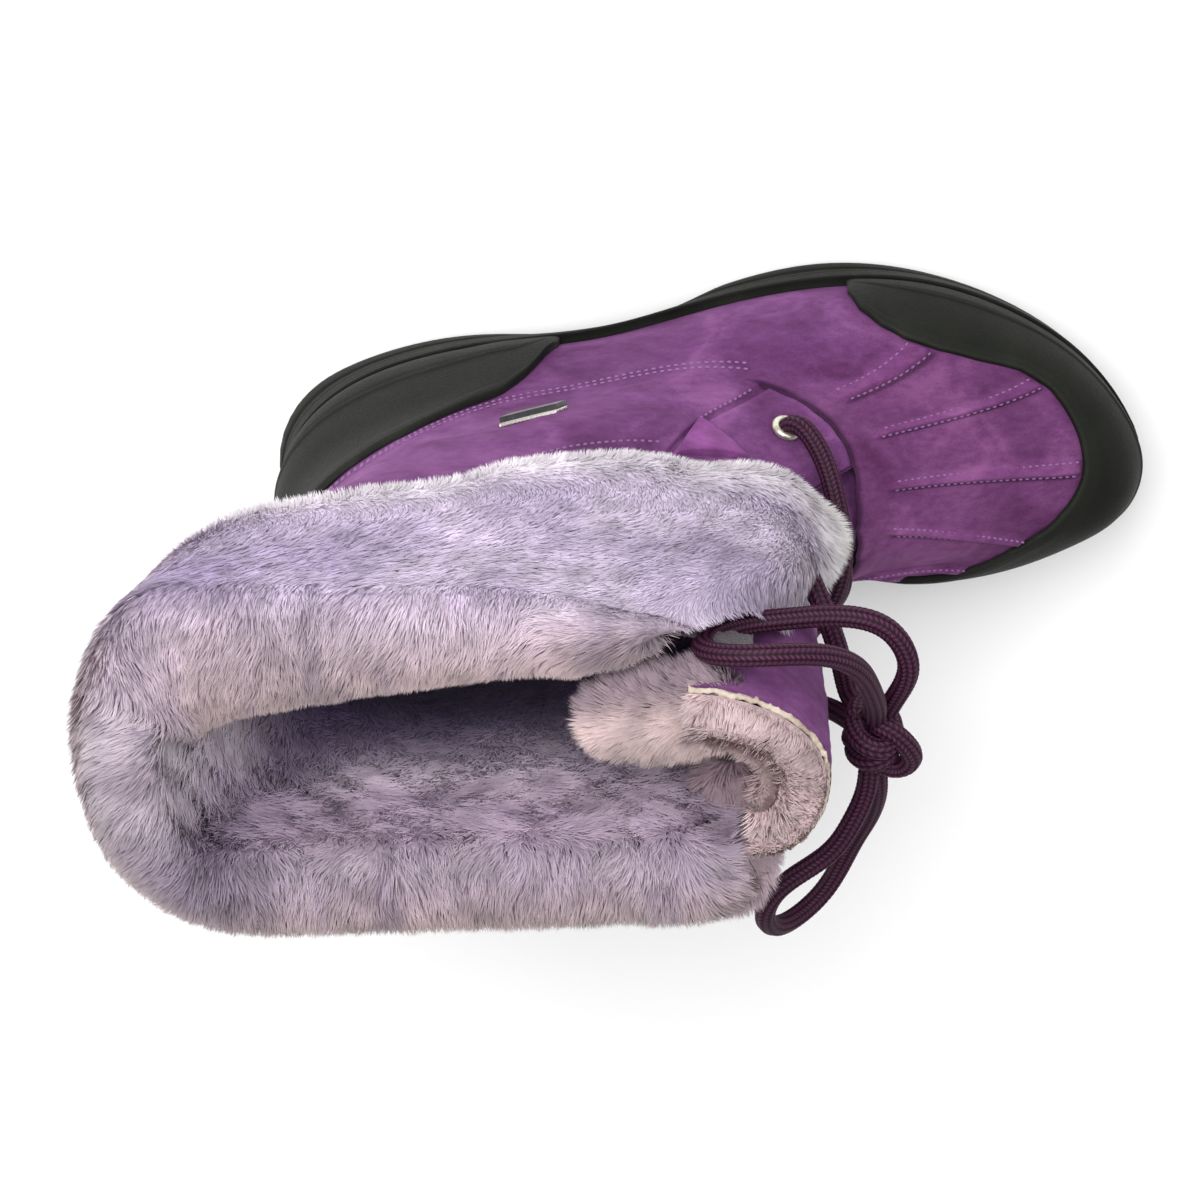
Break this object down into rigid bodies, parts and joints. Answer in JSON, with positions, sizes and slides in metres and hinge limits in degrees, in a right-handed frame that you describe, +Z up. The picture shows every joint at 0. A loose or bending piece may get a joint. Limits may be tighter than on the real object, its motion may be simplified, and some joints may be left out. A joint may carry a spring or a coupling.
{
  "type": "snow boot",
  "caption": "Left ankle-high winter boot: suede upper with rubber toe cap and heel counter on a lugged sole, turned-down shearling cuff, fur-lined tongue and a tied lace.",
  "frame": {"origin": "on the floor, under the middle of the heel's tread", "axes": "+X towards the toe, +Y towards the outer (lateral) side of the foot, +Z up"},
  "size_m": [0.3188, 0.1509, 0.2254],
  "materials": {
    "rubber": "matt, nearly black with a green cast",
    "suede": "purple suede with a short nap",
    "felt": "grey wool felt",
    "fur": "deep lilac-grey shearling with paler tips",
    "lace": "round braided lace, dark plum",
    "metal": "plain bright metal"
  },
  "bodies": {
    "root": {"outsole": "rubber", "insole": "felt", "upper": "suede", "toe_cap": "rubber", "heel_counter": "rubber", "eyestay_outer": "suede", "eyestay_inner": "suede", "tongue": "suede", "cuff": "fur", "collar_tab": "suede", "badge": "metal", "eyelet_outer_low": "metal", "eyelet_outer_high": "metal", "eyelet_inner_low": "metal", "eyelet_inner_high": "metal", "lace_crossings": "lace", "lace_knot": "lace", "lace_loop_outer": "lace", "lace_loop_inner": "lace"}
  },
  "joints": []
}
